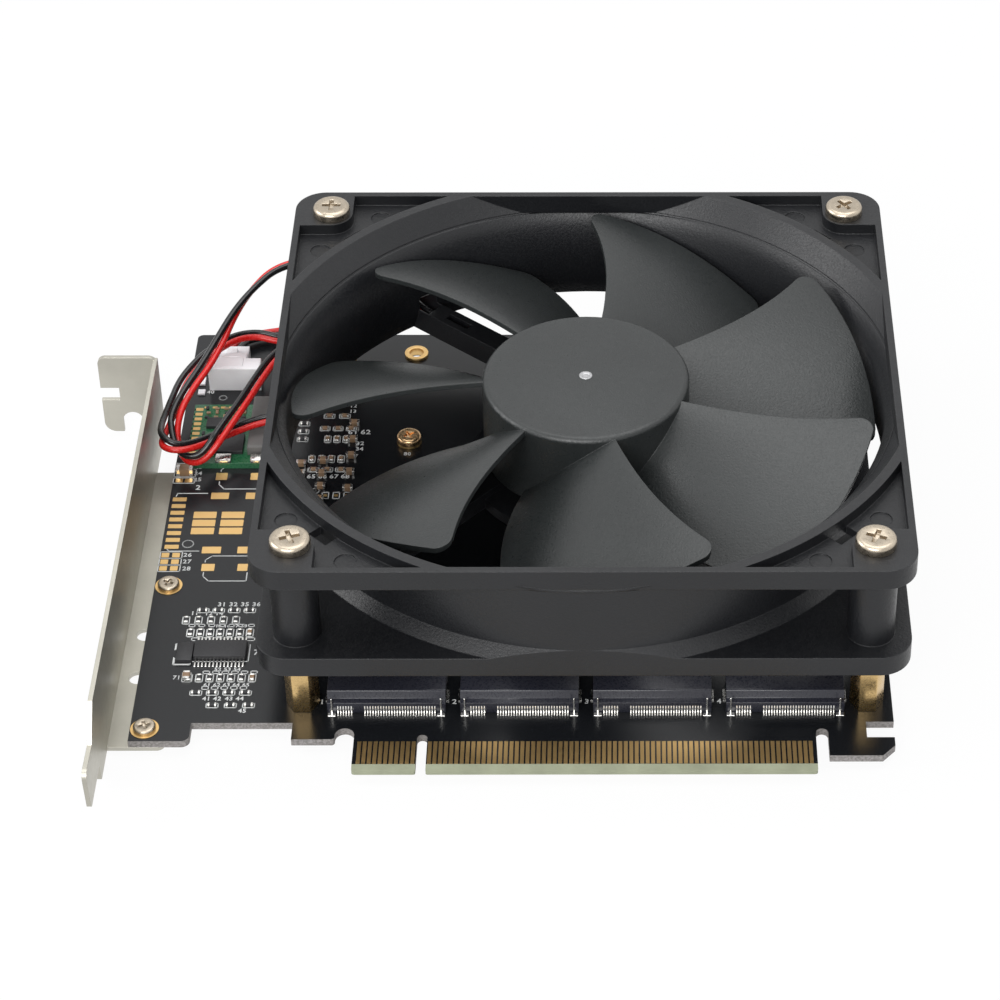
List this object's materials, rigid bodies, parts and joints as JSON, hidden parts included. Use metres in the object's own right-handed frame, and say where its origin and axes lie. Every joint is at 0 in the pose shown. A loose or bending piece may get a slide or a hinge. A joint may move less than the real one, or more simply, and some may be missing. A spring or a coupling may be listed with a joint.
{
  "type": "nvme adapter card",
  "caption": "Expansion card with slot bracket and edge connector, carrying keyed sockets for solid state drives under a 120 mm axial fan raised on standoffs.",
  "frame": {"origin": "middle of the edge connector's key notch, at the tip of the tongue, on the component side of the board", "axes": "+X along the edge connector away from the slot bracket, +Y from the connector's tip into the card, +Z out of the component side towards the fan"},
  "size_m": [0.1604, 0.1455, 0.0438],
  "materials": {
    "board_black": "black soldered board with a glossy mask",
    "contact_gold": "thin gold plating",
    "bracket_nickel": "satin nickel plated sheet",
    "screw_steel": "nickel plated steel",
    "standoff_brass": "turned brass",
    "frame_plastic": "fine grained dark grey moulding",
    "blade_plastic": "fine grained grey moulding",
    "motor_steel": "drawn steel",
    "magnet_grey": "bonded magnet",
    "winding_copper": "enamelled copper wire",
    "driver_green": "green circuit board",
    "socket_black": "black moulding",
    "tinned_metal": "tinned metal",
    "connector_white": "white moulding",
    "inductor_grey": "moulded powder",
    "chip_black": "moulded package",
    "ceramic_brown": "fired ceramic",
    "wire_red": "soft insulation",
    "wire_black": "soft insulation"
  },
  "bodies": {
    "card": {"circuit_board": "board_black", "edge_contacts": "contact_gold", "slot_bracket": "bracket_nickel", "bracket_washers": "contact_gold", "bracket_screws": "screw_steel", "standoff_1": "standoff_brass", "standoff_2": "standoff_brass", "standoff_3": "standoff_brass", "standoff_4": "standoff_brass", "fan_screws": "screw_steel", "foot_screws": "screw_steel", "fan_frame": "frame_plastic", "bearing_sleeve": "standoff_brass", "driver_board": "driver_green", "stator_core": "motor_steel", "stator_coils": "winding_copper", "drive_socket_1": "socket_black", "drive_socket_2": "socket_black", "drive_socket_3": "socket_black", "drive_socket_4": "socket_black", "socket_tabs": "tinned_metal", "drive_standoffs": "contact_gold", "drive_screws": "winding_copper", "fan_header": "connector_white", "header_pins": "contact_gold", "fan_plug": "connector_white", "power_board": "driver_green", "power_inductors": "inductor_grey", "power_chips": "chip_black", "clock_chip": "chip_black", "chip_leads": "tinned_metal", "crystal": "tinned_metal", "ceramic_capacitors": "ceramic_brown", "chip_resistors": "chip_black", "red_wire": "wire_red", "black_wire": "wire_black"},
    "rotor": {"impeller": "blade_plastic", "rotor_yoke": "motor_steel", "rotor_magnet": "magnet_grey", "motor_shaft": "motor_steel", "shaft_clip": "motor_steel"}
  },
  "joints": [
    {"name": "fan_spin", "type": "hinge", "parent": "card", "child": "rotor", "pos_m": [0.02988, 0.07059, 0.026], "axis": [0, 0, 1], "continuous": true}
  ]
}
